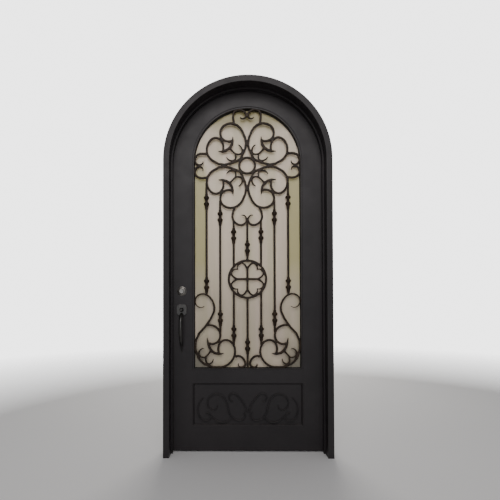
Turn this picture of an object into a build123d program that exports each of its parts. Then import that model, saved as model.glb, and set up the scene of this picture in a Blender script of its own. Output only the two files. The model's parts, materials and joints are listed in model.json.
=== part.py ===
from build123d import *
import os

# An arched wrought iron entrance door in its steel frame, in millimetres.
# X runs across the door, Y into the house and Z up. The origin is at the foot of the
# hinge-side jamb, on the face that bears on the wall, half-way through the frame's depth.

# The frame in the wall
frame_width = 1080
frame_height = 2440
frame_depth = 152
jamb_thickness = 30
rim_width = 38
stop_overhang = 10
stop_thickness = 22
seal_thickness = 4
seal_width = 12
seal_clearance = 5

# The leaf
leaf_thickness = 50
leaf_gap = 5
floor_gap = 8
stile_width = 140
crown_rise = 28
bottom_rail_height = 162
kick_panel_height = 282
mid_rail_height = 86

# The kick panel
kick_panel_thickness = 20
moulding = 12
moulding_depth = 12
moulding_slope = 35
kick_bar = 12
kick_bar_depth = 8
kick_scroll_rise = 31

# The iron grille. It is drawn for this half width, and everything in it is fitted to the one that is
# built, so that its scrolls still meet.
pattern_half = 355
surround_width = 10
surround_setback = 4
bar_stock = 14
tendril_stock = 10
tip_stock = 4
facet_turn = 16
taper_power = 2.5
rosette_ring = 53
medallion_ring = 124
medallion_arms = 156
medallion_share = 0.587

# The collars cast on the bars, and how far each stands below the springing line or above the sill.
# The upper collar of the centre bar has no drop of its own: it stands over the medallion.
bead_size = 18
bead_height = 16
bead_spacing = 44
bead_clearance = 1
waist_size = 12
collar_neck = 24
collar_tail = 38
collar_end = 10.5
collar_sides = 8
collar_drops = (464, 342, 235)
collar_rises = (153, 240, 340, 560)
medallion_gap_share = 0.17

# The glass and the sash that holds it from the inside
glass_thickness = 16
glass_clearance = 3
sash_lip_depth = 4
sash_flange = 20
sash_flange_thickness = 10
sash_lip_gap = 1
sash_hinge_radius = 6
sash_hinge_length = 70
sash_fitting_inset = 220
latch_length = 46
latch_width = 16
latch_thickness = 8

# The barrel hinges
barrel_radius = 11
barrel_length = 60
barrel_play = 0.5
barrel_clearance = 5
pin_radius = 6
pin_play = 0.05
flag_bite = 4
flag_margin = 4
hinge_rise = 260
hinge_drop = 140

# The lock and the handle
backset = 70
handle_height = 937
deadbolt_spacing = 123
rose_radius = 31
rose_thickness = 14
cylinder_radius = 15
cylinder_reach = 8
cylinder_chamfer = 2
escutcheon_width = 64
escutcheon_height = 73
escutcheon_thickness = 12
escutcheon_corner = 21
slot_width = 22
slot_height = 26
slot_pocket = 12
thumb_width = 12
thumb_height = 10
thumb_reach = 24
paddle_radius = 12
paddle_thickness = 5
thumb_pin_radius = 2
grip_drop = 281
grip_overlap = 11
grip_reach = 62
grip_radius = 11
grip_flatness = 0.8
grip_sections = 9
grip_bends = (0.22, 0.5, 0.78)
grip_top_taper = 0.8
grip_tail_taper = 0.25
grip_tail_slope = 0.3
knob_radius = 27
knob_reach = 62
knob_neck_radius = 11
knob_neck_length = 22
knob_rim = 18
knob_face_radius = 19
knob_chamfer = 2
turn_length = 34
turn_reach = 20
turn_thickness = 5
faceplate_width = 25
faceplate_thickness = 3
latch_plate_height = 57
strike_plate_height = 70

# The anchor holes, two pairs up each jamb, in the rebate that the closed leaf hides
anchor_radius = 5
anchor_depth = 48
anchor_lower = 330
anchor_pitch = 400
anchor_upper = 1200

# Where the main lines fall
middle = -frame_width / 2
outer_half = frame_width / 2
spring_height = frame_height - outer_half
rebate_half = outer_half - jamb_thickness
rim_half = outer_half - rim_width
stop_half = rim_half - stop_overhang
leaf_half = rebate_half - leaf_gap
opening_half = leaf_half - stile_width
grille_half = opening_half - surround_width
grille_scale = grille_half / pattern_half
bar = bar_stock * grille_scale
tendril = tendril_stock * grille_scale
tip = tip_stock * grille_scale

street_face = -frame_depth / 2
room_face = frame_depth / 2
leaf_face = room_face - leaf_thickness
leaf_middle = (leaf_face + room_face) / 2
seal_back = leaf_face - seal_clearance
stop_back = seal_back - seal_thickness
stop_front = stop_back - stop_thickness

kick_bottom = floor_gap + bottom_rail_height
kick_top = kick_bottom + kick_panel_height
opening_foot = kick_top + mid_rail_height
opening_spring = spring_height + crown_rise
sill = opening_foot + surround_width

glass_back = room_face - sash_lip_depth
glass_front = glass_back - glass_thickness
bead_radius = bead_size * grille_scale
grille_middle = glass_front - bead_clearance - bead_radius
grille_front = grille_middle - bar / 2
grille_back = grille_middle + bar / 2

lock_x = middle - leaf_half + backset
deadbolt_height = handle_height + deadbolt_spacing
jamb_plate_x = middle - rebate_half - faceplate_thickness / 2
leaf_plate_x = middle - leaf_half + faceplate_thickness / 2

centre_plane = Plane(origin=(middle, 0, 0), x_dir=(0, 1, 0), z_dir=(1, 0, 0))


def upright(depth, height=0):
    """An upright plane facing the street, with its origin on the door's centreline."""
    return Plane(origin=(middle, depth, height), x_dir=(1, 0, 0), z_dir=(0, -1, 0))


def round_head(half, foot, spring):
    """A round-headed outline, such as the glass or the opening."""
    with BuildSketch() as outline:
        with BuildLine():
            Polyline((half, spring), (half, foot), (-half, foot), (-half, spring))
            ThreePointArc((-half, spring), (0, spring + half), (half, spring))
        make_face()
    return outline.sketch


def half_ring(outer, inner, spring):
    """The round top of a frame, above its springing line."""
    with BuildSketch() as ring:
        with Locations((0, spring)):
            Circle(outer)
            Circle(inner, mode=Mode.SUBTRACT)
        with Locations((0, spring - outer / 2)):
            Rectangle(2 * outer, outer, mode=Mode.SUBTRACT)
    return ring.sketch


def tapered(share, start, full, end):
    """The width at a share of a length, full in the middle and narrowing towards its ends."""
    narrowing = start if share < 0.5 else end
    return full + (narrowing - full) * abs(2 * share - 1) ** taper_power


def strap(points, start, full, end):
    """A flat iron band along a smooth line, whose points are given at the pattern's own size.

    Its start, middle and end have their own widths, and its sides are facets of a few degrees each.
    """
    scaled = [(across * grille_scale, up * grille_scale) for across, up in points]
    with BuildLine():
        line = Spline(*scaled)
    knots = [line.param_at_point(point) for point in scaled]
    shares = []
    for first, last in zip(knots, knots[1:]):
        facets = max(1, round((line % first).get_angle(line % last) / facet_turn))
        shares += [first + (last - first) * step / facets for step in range(facets)]
    shares.append(knots[-1])
    left, right = [], []
    for share in shares:
        along = line % share
        across = Vector(-along.Y, along.X) * (tapered(share, start, full, end) / 2)
        left.append((line @ share) + across)
        right.append((line @ share) - across)
    with BuildSketch() as band:
        with BuildLine():
            Polyline(*left, *reversed(right), close=True)
        make_face()
    return band.sketch


def swapped(points):
    """The same curve with its two directions exchanged, about a diagonal."""
    return [(up, across) for across, up in points]


# The frame: two jambs and a round head, which the wall holds
with BuildPart() as hinge_jamb:
    with BuildSketch(upright(room_face)):
        with Locations(((outer_half + rebate_half) / 2, spring_height / 2)):
            Rectangle(jamb_thickness, spring_height)
    extrude(amount=frame_depth)
    with BuildSketch(Plane(origin=(0, 0, 0), x_dir=(0, 1, 0), z_dir=(1, 0, 0))):
        for first in (anchor_lower, anchor_upper):
            with Locations((anchor_depth, first), (anchor_depth, first + anchor_pitch)):
                Circle(anchor_radius)
    extrude(amount=-jamb_thickness, mode=Mode.SUBTRACT)

# The latch jamb is cut for the two strike plates
with BuildPart() as latch_jamb:
    mirror(hinge_jamb.part, about=centre_plane)
    for height in (handle_height, deadbolt_height):
        with Locations((jamb_plate_x, leaf_middle, height)):
            Box(faceplate_thickness, faceplate_width, strike_plate_height, mode=Mode.SUBTRACT)

with BuildPart() as arch_head:
    with BuildSketch(upright(room_face)):
        add(half_ring(outer_half, rebate_half, spring_height))
    extrude(amount=frame_depth)

# The stop: a stepped lining that the leaf closes against
with BuildPart() as hinge_side_stop:
    with BuildSketch(Plane(origin=(middle, 0, 0), x_dir=(1, 0, 0), z_dir=(0, 0, 1))):
        with BuildLine():
            Polyline(
                (rebate_half, street_face),
                (rim_half, street_face),
                (rim_half, stop_front),
                (stop_half, stop_front),
                (stop_half, stop_back),
                (rebate_half, stop_back),
                close=True,
            )
        make_face()
    extrude(amount=spring_height)

with BuildPart() as latch_side_stop:
    mirror(hinge_side_stop.part, about=centre_plane)

with BuildPart() as arch_stop:
    with BuildSketch(upright(stop_back)):
        add(half_ring(rebate_half, rim_half, spring_height))
    extrude(amount=stop_back - street_face)
    with BuildSketch(upright(stop_back)):
        add(half_ring(rim_half, stop_half, spring_height))
    extrude(amount=stop_thickness)

with BuildPart() as weather_seal:
    with BuildSketch(upright(seal_back)):
        add(round_head(stop_half + seal_width, 0, spring_height))
        add(round_head(stop_half, 0, spring_height), mode=Mode.SUBTRACT)
    extrude(amount=seal_thickness)

with BuildPart() as strike_plates:
    for height in (handle_height, deadbolt_height):
        with Locations((jamb_plate_x, leaf_middle, height)):
            Box(faceplate_thickness, faceplate_width, strike_plate_height)
            Box(faceplate_thickness, faceplate_width / 2, faceplate_width, mode=Mode.SUBTRACT)

# The leaf: two stiles, an arched rail and two straight rails, all of one thickness
with BuildPart() as hinge_stile:
    with BuildSketch(upright(room_face)):
        with Locations((opening_half + stile_width / 2, (floor_gap + spring_height) / 2)):
            Rectangle(stile_width, spring_height - floor_gap)
    extrude(amount=leaf_thickness)

with BuildPart() as latch_stile:
    mirror(hinge_stile.part, about=centre_plane)
    for height in (handle_height, deadbolt_height):
        with Locations((leaf_plate_x, leaf_middle, height)):
            Box(faceplate_thickness, faceplate_width, latch_plate_height, mode=Mode.SUBTRACT)
    with Locations((lock_x, leaf_face + slot_pocket / 2, handle_height)):
        Box(slot_width, slot_pocket, slot_height, mode=Mode.SUBTRACT)

with BuildPart() as edge_faceplates:
    for height in (handle_height, deadbolt_height):
        with Locations((leaf_plate_x, leaf_middle, height)):
            Box(faceplate_thickness, faceplate_width, latch_plate_height)

with BuildPart() as arched_rail:
    with BuildSketch(upright(room_face)):
        add(half_ring(leaf_half, opening_half / 2, spring_height))
        add(round_head(opening_half, opening_foot, opening_spring), mode=Mode.SUBTRACT)
    extrude(amount=leaf_thickness)

with BuildPart() as mid_rail:
    with BuildSketch(upright(room_face)):
        with Locations((0, kick_top + mid_rail_height / 2)):
            Rectangle(2 * opening_half, mid_rail_height)
    extrude(amount=leaf_thickness)

with BuildPart() as bottom_rail:
    with BuildSketch(upright(room_face)):
        with Locations((0, floor_gap + bottom_rail_height / 2)):
            Rectangle(2 * opening_half, bottom_rail_height)
    extrude(amount=leaf_thickness)

# The kick panel lies in the middle of the leaf, with a bevelled moulding on both faces
panel_front = leaf_middle - kick_panel_thickness / 2
panel_back = leaf_middle + kick_panel_thickness / 2
panel_middle = (kick_bottom + kick_top) / 2

with BuildPart() as kick_panel:
    with BuildSketch(upright(panel_back)):
        with Locations((0, panel_middle)):
            Rectangle(2 * opening_half, kick_panel_height)
    extrude(amount=kick_panel_thickness)

with BuildPart() as kick_mouldings:
    with BuildSketch(upright(panel_front)):
        with Locations((0, panel_middle)):
            Rectangle(2 * opening_half, kick_panel_height)
    extrude(amount=moulding_depth)
    with BuildSketch(upright(panel_front)):
        with Locations((0, panel_middle)):
            Rectangle(2 * (opening_half - moulding), kick_panel_height - 2 * moulding)
    extrude(amount=moulding_depth, taper=-moulding_slope, mode=Mode.SUBTRACT)
    mirror(about=upright(leaf_middle))

# Scrolls on the kick panel: on each side of a V of two leaves, a wave, a bowl and an outer scroll
kick_leaf = [
    (5.3, 56.8), (24.8, 110), (63.9, 159.8), (99.4, 179.3), (124.2, 159.8), (117.1, 131.3),
    (95.8, 127.8),
]
kick_wave = [
    (28.4, 53.2), (17.8, 28.4), (31.9, 5.3), (63.9, 0), (99.4, 14.2), (124.2, 49.7),
    (134.9, 99.4), (158, 149.1), (198.8, 175.7), (241.4, 165.1), (266.2, 131.3), (262.7, 92.3),
    (236.1, 69.2), (207.7, 78.1), (204.1, 102.9),
]
kick_bowl = [(106.5, 17.8), (134.9, -5.3), (173.9, -12.4), (213, 0), (241.4, 31.9)]
kick_outer = [
    (276.9, 49.7), (252, 39), (246.7, 14.2), (269.8, -1.8), (301.8, 3.5), (324.8, 31.9),
    (333, 74.5), (319.5, 120.7), (291.1, 152.7),
]

with BuildPart() as kick_scrolls:
    with BuildSketch(upright(panel_front, kick_bottom + kick_scroll_rise)):
        for points in (kick_leaf, kick_wave, kick_bowl, kick_outer):
            add(strap(points, kick_bar * grille_scale, kick_bar * grille_scale, tip))
        mirror(about=Plane.YZ)
    extrude(amount=kick_bar_depth)

# The iron surround that the grille is welded into, and that the glass bears on
with BuildPart() as grille_surround:
    with BuildSketch(upright(glass_front)):
        add(round_head(opening_half, opening_foot, opening_spring))
        add(round_head(grille_half, sill, opening_spring), mode=Mode.SUBTRACT)
    extrude(amount=glass_front - leaf_face - surround_setback)

# The rosette: a ring with eight scrolls about it, and a fishtail with two tendrils in each quarter
tall_scroll = [
    (44, 44.7), (29.5, 75.3), (13.8, 110.8), (6, 150.5), (13.5, 190.6), (31.6, 233.2),
    (65.3, 271.2), (111.8, 284), (156.9, 267.7), (179.3, 227.9), (169, 185.3), (131.3, 163.3),
    (100.8, 167.2),
]
wide_scroll = [
    (44.7, 44), (74.5, 28.4), (113.6, 13.8), (151.9, 6), (190.3, 12.1), (233.6, 36.2),
    (262, 71), (269.8, 113.6), (253.5, 161.2), (213, 188.1), (175.4, 172.5), (158.3, 134.9),
    (159.4, 99.4),
]
fishtail = [
    (192.4, 95.5), (164.7, 94.8), (138.1, 103.3), (117.9, 117.9), (102.6, 139.9), (95.5, 165.4),
    (94.8, 193.5),
]
stem = [(118.6, 118.6), (97.6, 97.6), (76.7, 76.7)]
tendril_out = [(79.5, 79.5), (59.6, 75.3), (39.8, 80.9), (31.9, 101.5), (40.5, 125), (58.2, 139.2)]

with BuildPart() as rosette:
    with BuildSketch(upright(grille_back, spring_height)):
        add(strap(tall_scroll, bar, bar, bar))
        add(strap(wide_scroll, bar, bar, bar))
        add(strap(fishtail, tip, bar + tip, tip))
        add(strap(stem, bar, tendril, tendril))
        add(strap(tendril_out, tendril, tendril, tip))
        add(strap(swapped(tendril_out), tendril, tendril, tip))
        mirror(about=Plane.YZ)
        mirror(about=Plane.XZ)
        Circle(rosette_ring * grille_scale + bar / 2)
        Circle(rosette_ring * grille_scale - bar / 2, mode=Mode.SUBTRACT)
    extrude(amount=bar)

# Four hearts hang on the rosette, one on each axis
top_lobe = [
    (87.3, 287.9), (93.4, 326.6), (83.1, 364.2), (54.7, 377), (22.7, 366.4), (6, 342.9),
    (12.1, 322.3), (30.5, 315.2), (45.4, 325.2),
]
bottom_lobe = [
    (82.7, -285.4), (98, -324.5), (94.8, -363.5), (71, -390.5), (39, -399), (12.8, -384.8),
    (6, -360.7), (15.6, -338.7), (39, -333.7),
]
side_lobe = [
    (268.4, 78.8), (295.4, 82.4), (327.3, 76), (349.3, 47.6), (345.1, 21.3), (325.2, 6),
    (303.2, 10.6), (294.6, 31.9),
]

with BuildPart() as top_heart:
    with BuildSketch(upright(grille_back, spring_height)):
        add(strap(top_lobe, bar, bar, tip))
        mirror(about=Plane.YZ)
    extrude(amount=bar)
    add(rosette.part, mode=Mode.SUBTRACT)
    add(grille_surround.part, mode=Mode.SUBTRACT)

with BuildPart() as bottom_heart:
    with BuildSketch(upright(grille_back, spring_height)):
        add(strap(bottom_lobe, bar, bar, tip))
        mirror(about=Plane.YZ)
    extrude(amount=bar)
    add(rosette.part, mode=Mode.SUBTRACT)

with BuildPart() as side_hearts:
    with BuildSketch(upright(grille_back, spring_height)):
        add(strap(side_lobe, bar, bar, tip))
        mirror(about=Plane.YZ)
        mirror(about=Plane.XZ)
    extrude(amount=bar)
    add(rosette.part, mode=Mode.SUBTRACT)
    add(grille_surround.part, mode=Mode.SUBTRACT)

volute = [
    (80.2, 73.1), (61.8, 82.4), (37.6, 72.4), (17.8, 44), (17, 21.3), (36.2, 7.1),
    (56.8, 12.1), (61.1, 33.4),
]

# The medallion: a ring with a cross in it, whose four ends fork into curls. It hangs in the bars at a
# share of the height between the volutes at the foot and the bottom heart.
volute_top = sill + max(up for across, up in volute) * grille_scale + bar / 2
heart_foot = spring_height + min(up for across, up in bottom_lobe) * grille_scale - bar / 2
medallion_height = volute_top + medallion_share * (heart_foot - volute_top)
medallion_radius = medallion_ring * grille_scale
medallion_cross = medallion_arms * grille_scale
fork = [(0, 71), (16.3, 93.7), (38, 107.2), (58.2, 95.8), (62.5, 62.5)]

with BuildPart() as medallion:
    with BuildSketch(upright(grille_back, medallion_height)):
        Circle(medallion_radius + bar / 2)
        Circle(medallion_radius - bar / 2, mode=Mode.SUBTRACT)
        Rectangle(medallion_cross, bar)
        Rectangle(bar, medallion_cross)
        add(strap(fork, bar, tendril, tip))
        add(strap(swapped(fork), bar, tendril, tip))
        mirror(about=Plane.YZ)
        mirror(about=Plane.XZ)
    extrude(amount=bar)

# The scrolls at the foot: a tall S, a bowl that curls back, a second curl and a fishtail
foot_s = [
    (287.6, 413.2), (318.8, 404.3), (344.3, 426), (348.6, 457.9), (326.6, 486.3), (291.1, 494.5),
    (252, 473.6), (224.4, 426), (222.2, 379.8), (244.9, 328.7), (282.2, 275.1), (323.1, 230.8),
    (345.8, 181), (347.9, 127.8), (328.7, 71), (287.6, 28.4), (234.3, 7.8), (177.5, 7.1),
]
foot_curl = [
    (177.5, 7.1), (127.8, 26.3), (94.4, 66), (83.1, 110), (97.3, 161.9), (134.9, 186.7),
    (173.9, 178.2), (193.8, 142), (190.3, 100.8),
]
foot_second = [
    (268.4, 285.4), (227.2, 282.6), (193.1, 258.4), (180.7, 221.5), (195.2, 179.6), (225.8, 161.2),
    (255.2, 166.8),
]
foot_fishtail = [
    (268.4, 202.3), (263.8, 167.9), (254.5, 139.9), (240.3, 116.8), (219.4, 101.5), (192.8, 94.4),
    (159, 99.8),
]
foot_stem = [(241, 116.8), (259.1, 96.2), (276.9, 77.4)]
foot_tendril_out = [
    (273.3, 79.5), (296.8, 71.7), (319.5, 83.8), (323.1, 108.3), (308.8, 127.1), (287.6, 128.2),
]
foot_tendril_in = [(275.5, 80.9), (278.3, 56.8), (269.8, 34.1), (249.2, 30.5), (233.2, 44.7), (229.3, 65)]

with BuildPart() as right_foot_scrolls:
    with BuildSketch(upright(grille_back, sill)):
        add(strap(foot_s, tip, bar, bar))
        add(strap(foot_curl, bar, bar, bar))
        add(strap(foot_second, bar, bar, bar))
        add(strap(foot_fishtail, tip, bar + tip, tip))
        add(strap(foot_stem, bar, tendril, tendril))
        add(strap(foot_tendril_out, tendril, tendril, tip))
        add(strap(foot_tendril_in, tendril, tendril, tip))
    extrude(amount=bar)
    add(grille_surround.part, mode=Mode.SUBTRACT)

with BuildPart() as left_foot_scrolls:
    mirror(right_foot_scrolls.part, about=centre_plane)

# Seven upright bars. Each ends on the scrolls above and below it. The lines are distances from the
# centreline, the tops from the springing line down and the feet from the sill up.
centre_bar_top = 369
inner_bar_line, inner_bar_top, inner_bar_foot = 91, 373, 153
second_bar_line, second_bar_top, second_bar_foot = 181, 234, 234
outer_bar_line, outer_bar_top, outer_bar_foot = 272, 114, 486


def bar_pair(line, top, foot):
    """Square bars on both sides of the centreline."""
    upper = spring_height - top * grille_scale
    lower = sill + foot * grille_scale
    across = line * grille_scale
    with BuildSketch() as bars:
        with Locations((-across, (upper + lower) / 2), (across, (upper + lower) / 2)):
            Rectangle(bar, upper - lower)
    return bars.sketch


def medallion_disc():
    """The room that the medallion takes in the bars behind it."""
    with BuildSketch() as disc:
        with Locations((0, medallion_height)):
            Circle(medallion_radius + bar / 2)
    return disc.sketch


with BuildPart() as centre_bar:
    centre_bar_height = spring_height - centre_bar_top * grille_scale - sill
    with BuildSketch(upright(grille_back)):
        with Locations((0, sill + centre_bar_height / 2)):
            Rectangle(bar, centre_bar_height)
        add(medallion_disc(), mode=Mode.SUBTRACT)
    extrude(amount=bar)
    add(bottom_heart.part, mode=Mode.SUBTRACT)

with BuildPart() as centre_volutes:
    with BuildSketch(upright(grille_back, sill)):
        add(strap(volute, bar, bar, tip))
        mirror(about=Plane.YZ)
    extrude(amount=bar)
    add(grille_surround.part, mode=Mode.SUBTRACT)
    add(left_foot_scrolls.part, mode=Mode.SUBTRACT)
    add(right_foot_scrolls.part, mode=Mode.SUBTRACT)
    add(centre_bar.part, mode=Mode.SUBTRACT)

with BuildPart() as inner_bars:
    with BuildSketch(upright(grille_back)):
        add(bar_pair(inner_bar_line, inner_bar_top, inner_bar_foot))
        add(medallion_disc(), mode=Mode.SUBTRACT)
    extrude(amount=bar)
    add(bottom_heart.part, mode=Mode.SUBTRACT)
    add(left_foot_scrolls.part, mode=Mode.SUBTRACT)
    add(right_foot_scrolls.part, mode=Mode.SUBTRACT)

with BuildPart() as second_bars:
    with BuildSketch(upright(grille_back)):
        add(bar_pair(second_bar_line, second_bar_top, second_bar_foot))
    extrude(amount=bar)
    add(rosette.part, mode=Mode.SUBTRACT)
    add(left_foot_scrolls.part, mode=Mode.SUBTRACT)
    add(right_foot_scrolls.part, mode=Mode.SUBTRACT)

with BuildPart() as outer_bars:
    with BuildSketch(upright(grille_back)):
        add(bar_pair(outer_bar_line, outer_bar_top, outer_bar_foot))
    extrude(amount=bar)
    add(rosette.part, mode=Mode.SUBTRACT)
    add(side_hearts.part, mode=Mode.SUBTRACT)
    add(left_foot_scrolls.part, mode=Mode.SUBTRACT)
    add(right_foot_scrolls.part, mode=Mode.SUBTRACT)

# Cast collars threaded on the bars: two beads with a neck above and a longer taper below
bead_line = bead_spacing / 2
collar_profile = (
    (bead_line + collar_neck, collar_end),
    (bead_line + bead_height / 2, waist_size),
    (bead_line, bead_size),
    (bead_line - bead_height / 2, waist_size),
    (bead_height / 2 - bead_line, waist_size),
    (-bead_line, bead_size),
    (-bead_line - bead_height / 2, waist_size),
    (-bead_line - collar_tail, collar_end),
)
collar_length = (bead_spacing + collar_neck + collar_tail) * grille_scale
collar_foot = (bead_line + collar_tail) * grille_scale
medallion_top = medallion_height + medallion_radius + bar / 2
collar_play = heart_foot - medallion_top - collar_length
centre_collar_height = medallion_top + collar_foot + medallion_gap_share * collar_play

with BuildPart() as bar_collars:
    places = [(middle, grille_middle, centre_collar_height)]
    places.append((middle, grille_middle, sill + collar_rises[0] * grille_scale))
    bar_lines = (inner_bar_line, second_bar_line, outer_bar_line)
    for line, drop, rise in zip(bar_lines, collar_drops, collar_rises[1:]):
        for side in (-1, 1):
            across = middle + side * line * grille_scale
            places.append((across, grille_middle, spring_height - drop * grille_scale))
            places.append((across, grille_middle, sill + rise * grille_scale))
    for x, y, z in places:
        for height, radius in collar_profile:
            with BuildSketch(Plane(origin=(x, y, z + height * grille_scale))):
                RegularPolygon(radius * grille_scale, collar_sides)
        loft(ruled=True)
    with Locations(*places):
        Box(bar, bar, 2 * collar_length, mode=Mode.SUBTRACT)

# The sealed glass and the sash that clamps it from the room
glass_half = opening_half - glass_clearance
lip_half = opening_half - sash_lip_gap

with BuildPart() as glass_pane:
    with BuildSketch(upright(glass_back)):
        add(round_head(glass_half, opening_foot + glass_clearance, opening_spring))
    extrude(amount=glass_thickness)

with BuildPart() as sash:
    with BuildSketch(upright(room_face)):
        add(round_head(lip_half, opening_foot + sash_lip_gap, opening_spring))
    extrude(amount=sash_lip_depth)
    with BuildSketch(upright(room_face + sash_flange_thickness)):
        add(round_head(opening_half + sash_flange, opening_foot - sash_flange, opening_spring))
    extrude(amount=sash_flange_thickness)
    with BuildSketch(upright(room_face + sash_flange_thickness)):
        add(round_head(grille_half, sill, opening_spring))
    extrude(amount=sash_flange_thickness + sash_lip_depth, mode=Mode.SUBTRACT)

# Small barrel hinges beside the sash on the hinge side, and turn buttons on the latch side
sash_edge = opening_half + sash_flange
sash_fitting_heights = (
    opening_foot + sash_fitting_inset,
    (opening_foot + opening_spring) / 2,
    opening_spring - sash_fitting_inset,
)

with BuildPart() as sash_hinges:
    for height in sash_fitting_heights:
        place = (middle + sash_edge + sash_hinge_radius, room_face + sash_hinge_radius, height)
        with Locations(place):
            Cylinder(sash_hinge_radius, sash_hinge_length)

with BuildPart() as sash_latches:
    for height in sash_fitting_heights:
        edge_x = middle - sash_edge
        with Locations((edge_x - latch_width / 2, room_face + sash_flange_thickness / 2, height)):
            Box(latch_width, sash_flange_thickness, latch_length)
        front = room_face + sash_flange_thickness + latch_thickness / 2
        with Locations((edge_x, front, height)):
            Box(2 * latch_width, latch_thickness, latch_width)

# The barrel hinges: a lower barrel with its pin on the jamb, an upper barrel on the leaf
hinge_x = middle + (rebate_half + leaf_half) / 2
hinge_y = room_face + barrel_clearance + barrel_radius
hinge_top = spring_height - hinge_drop
hinge_heights = (hinge_rise, (hinge_rise + hinge_top) / 2, hinge_top)
flag_thickness = barrel_clearance + flag_bite
flag_width = jamb_thickness - flag_margin

with BuildPart() as jamb_knuckles:
    for height in hinge_heights:
        with Locations((hinge_x, hinge_y, height)):
            Cylinder(barrel_radius, barrel_length, align=(Align.CENTER, Align.CENTER, Align.MAX))
            Cylinder(pin_radius, 2 * barrel_length, align=(Align.CENTER, Align.CENTER, Align.CENTER))
        flag_x = middle + rebate_half + flag_width / 2
        with Locations((flag_x, room_face + flag_thickness / 2, height - barrel_length / 2)):
            Box(flag_width, flag_thickness, barrel_length)

with BuildPart() as leaf_knuckles:
    for height in hinge_heights:
        with Locations((hinge_x, hinge_y, height + barrel_play)):
            Cylinder(barrel_radius, barrel_length, align=(Align.CENTER, Align.CENTER, Align.MIN))
        flag_x = middle + leaf_half - flag_width / 2
        with Locations((flag_x, room_face + flag_thickness / 2, height + barrel_play + barrel_length / 2)):
            Box(flag_width, flag_thickness, barrel_length)
        with Locations((hinge_x, hinge_y, height)):
            Cylinder(pin_radius + pin_play, 3 * barrel_length, mode=Mode.SUBTRACT)

# The lock side: a deadbolt above, and a grip handle with a thumb piece below it
street_plane = Plane(origin=(lock_x, leaf_face, 0), x_dir=(1, 0, 0), z_dir=(0, -1, 0))

with BuildPart() as deadbolt_rose:
    with BuildSketch(street_plane):
        with Locations((0, deadbolt_height)):
            Circle(rose_radius)
    extrude(amount=rose_thickness)
    chamfer(deadbolt_rose.faces().sort_by(Axis.Y)[0].edges(), length=rose_thickness / 2)
    with BuildSketch(street_plane):
        with Locations((0, deadbolt_height)):
            Circle(cylinder_radius)
    extrude(amount=rose_thickness, mode=Mode.SUBTRACT)

with BuildPart() as key_cylinder:
    with BuildSketch(street_plane):
        with Locations((0, deadbolt_height)):
            Circle(cylinder_radius)
    extrude(amount=rose_thickness + cylinder_reach)
    chamfer(key_cylinder.faces().sort_by(Axis.Y)[0].edges(), length=cylinder_chamfer)

with BuildPart() as escutcheon:
    with BuildSketch(street_plane):
        with Locations((0, handle_height)):
            RectangleRounded(escutcheon_width, escutcheon_height, escutcheon_corner)
            Rectangle(slot_width, slot_height, mode=Mode.SUBTRACT)
    extrude(amount=escutcheon_thickness)
    pin_y = leaf_face - escutcheon_thickness / 2
    with Locations((lock_x, pin_y, handle_height)):
        Cylinder(thumb_pin_radius, slot_width, rotation=(0, 90, 0))

with BuildPart() as thumb_piece:
    stem_back = pin_y + thumb_height / 2
    stem_front = leaf_face - escutcheon_thickness - thumb_reach
    with BuildSketch(Plane.XY.offset(handle_height)):
        with Locations((lock_x, (stem_back + stem_front) / 2)):
            Rectangle(thumb_width, stem_back - stem_front)
    extrude(amount=thumb_height / 2, both=True)
    with BuildSketch(Plane.XY.offset(handle_height)):
        with Locations((lock_x, stem_front)):
            Circle(paddle_radius)
    extrude(amount=paddle_thickness / 2, both=True)
    with Locations((lock_x, pin_y, handle_height)):
        Cylinder(thumb_pin_radius + pin_play, 2 * slot_width, rotation=(0, 90, 0), mode=Mode.SUBTRACT)

# The grip springs from the escutcheon, stands off for the fingers and ends in a pointed tail
grip_top = handle_height - escutcheon_height / 2 + grip_overlap
grip_length = grip_top - (handle_height - grip_drop)
grip_front = leaf_face - grip_reach

with BuildPart() as grip_handle:
    with BuildLine() as grip_line:
        Spline(
            (lock_x, leaf_face - escutcheon_thickness, grip_top),
            (lock_x, grip_front, grip_top - grip_bends[0] * grip_length),
            (lock_x, grip_front, grip_top - grip_bends[1] * grip_length),
            (lock_x, (leaf_face + grip_front) / 2, grip_top - grip_bends[2] * grip_length),
            (lock_x, leaf_face, grip_top - grip_length),
            tangents=((0, -1, 0), (0, grip_tail_slope, -1)),
        )
    for step in range(grip_sections):
        share = step / (grip_sections - 1)
        radius = grip_radius * tapered(share, grip_top_taper, 1, grip_tail_taper)
        along = grip_line.line % share
        with BuildSketch(Plane(origin=grip_line.line @ share, x_dir=(1, 0, 0), z_dir=along)):
            Ellipse(radius, radius * grip_flatness)
    loft(ruled=True)
    split(bisect_by=upright(leaf_face))

with BuildPart() as room_roses:
    with BuildSketch(Plane(origin=(lock_x, room_face, 0), x_dir=(-1, 0, 0), z_dir=(0, 1, 0))):
        with Locations((0, handle_height), (0, deadbolt_height)):
            Circle(rose_radius)
    extrude(amount=rose_thickness)

with BuildPart() as room_knob:
    with BuildSketch(Plane(origin=(lock_x, room_face + rose_thickness, handle_height),
                           x_dir=(1, 0, 0), z_dir=(0, 0, 1))):
        with BuildLine():
            Polyline(
                (0, knob_reach),
                (0, 0),
                (knob_neck_radius, 0),
                (knob_neck_radius, knob_neck_length),
                (knob_radius, (knob_neck_length + knob_reach - knob_rim / 2) / 2),
                (knob_radius, knob_reach - knob_rim / 2),
                (knob_face_radius, knob_reach),
                close=True,
            )
        make_face()
    revolve(axis=Axis((lock_x, room_face, handle_height), (0, 1, 0)))
    chamfer(room_knob.faces().sort_by(Axis.Y)[-1].edges(), length=knob_chamfer)

with BuildPart() as thumb_turn:
    turn_y = room_face + rose_thickness
    with Locations((lock_x, turn_y + turn_thickness / 2, deadbolt_height)):
        Cylinder(knob_neck_radius, turn_thickness, rotation=(90, 0, 0))
    with Locations((lock_x, turn_y + turn_thickness + turn_reach / 2, deadbolt_height)):
        Box(turn_thickness, turn_reach, turn_length)

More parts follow.
